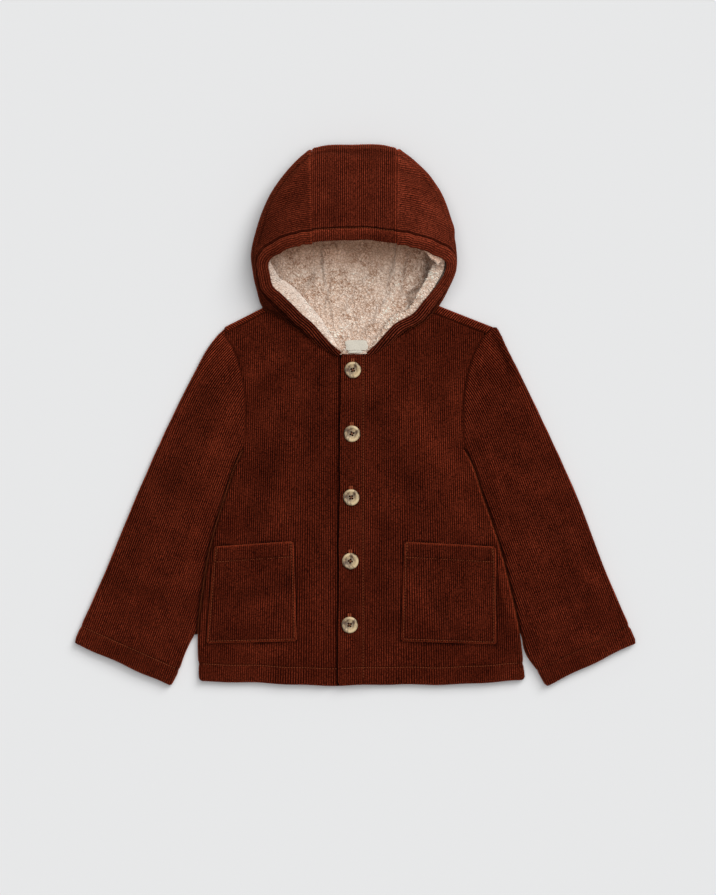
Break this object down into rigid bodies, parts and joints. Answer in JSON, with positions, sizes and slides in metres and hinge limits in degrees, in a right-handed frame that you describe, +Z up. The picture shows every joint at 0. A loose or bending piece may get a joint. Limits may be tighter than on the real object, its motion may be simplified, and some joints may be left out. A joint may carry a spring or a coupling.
{
  "type": "hooded corduroy coat",
  "caption": "Child's corduroy coat with a fleece-lined hood, buttoned centre front and patch pockets, laid flat on its back.",
  "frame": {"origin": "centre of the coat's outline, on the surface it lies on", "axes": "+X to the wearer's left, +Y from the hem to the hood, +Z up from the surface, out of the chest"},
  "size_m": [0.619, 0.5953, 0.063],
  "materials": {
    "corduroy": "dark rust brown cotton corduroy, fine wales, soft nap",
    "fleece": "cream curly pile fleece",
    "woven_label": "plain cream woven tape",
    "horn": "mottled horn effect, semi-gloss"
  },
  "bodies": {
    "root": {"back": "corduroy", "front_right": "corduroy", "front_left": "corduroy", "sleeve_right": "corduroy", "sleeve_left": "corduroy", "pocket_right": "corduroy", "pocket_left": "corduroy", "hood_side_right": "corduroy", "hood_side_left": "corduroy", "hood_centre": "corduroy", "hood_lining_centre": "fleece", "hood_lining_left": "fleece", "hood_lining_right": "fleece", "neck_label": "woven_label", "button_1": "horn", "button_2": "horn", "button_3": "horn", "button_4": "horn", "button_5": "horn"}
  },
  "joints": []
}
